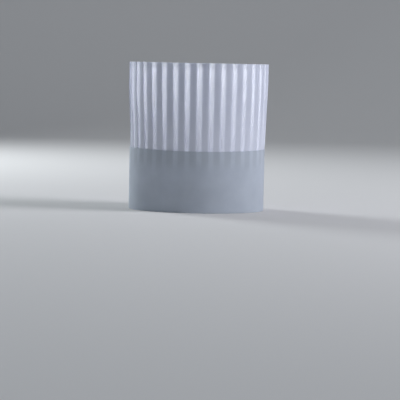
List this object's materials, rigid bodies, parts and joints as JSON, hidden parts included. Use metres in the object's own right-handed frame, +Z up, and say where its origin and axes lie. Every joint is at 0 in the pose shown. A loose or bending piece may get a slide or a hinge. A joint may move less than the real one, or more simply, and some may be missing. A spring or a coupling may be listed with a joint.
{
  "type": "chef toque",
  "caption": "Tall paper chef's toque: a knife-pleated crown standing in a smooth folded head band, with a closing flap at the nape.",
  "frame": {"origin": "middle of the band's lower edge, on the surface that the hat stands on", "axes": "+Z up through the crown; -Y towards the brow, +Y towards the nape; +X towards the wearer's left ear"},
  "size_m": [0.2038, 0.2188, 0.23],
  "materials": {
    "band_paper": "smooth matte white paper",
    "crown_paper": "thin matte white paper, slightly translucent",
    "nonwoven": "thin white nonwoven, matte and translucent",
    "pad_foam": "soft absorbent nonwoven, matte",
    "glue": "dried milky adhesive, satin",
    "tape": "clear double-sided tape, satin"
  },
  "bodies": {
    "hat": {"outer_band": "band_paper", "turn_up_glue": "glue", "pleated_crown": "crown_paper", "crown_seam_strip": "crown_paper", "crown_glue_line": "glue", "inner_band": "crown_paper", "inner_band_glue": "glue", "sweat_pad": "pad_foam", "sweat_pad_adhesive": "glue", "crown_top": "nonwoven", "crown_top_glue": "glue"},
    "flap": {"closing_flap": "band_paper", "closing_tape": "tape"}
  },
  "joints": [
    {"name": "flap_lift", "type": "hinge", "parent": "hat", "child": "flap", "pos_m": [0.00659, 0.10627, 0.0485], "axis": [0, 0, 1], "range_deg": [0, 75]}
  ]
}
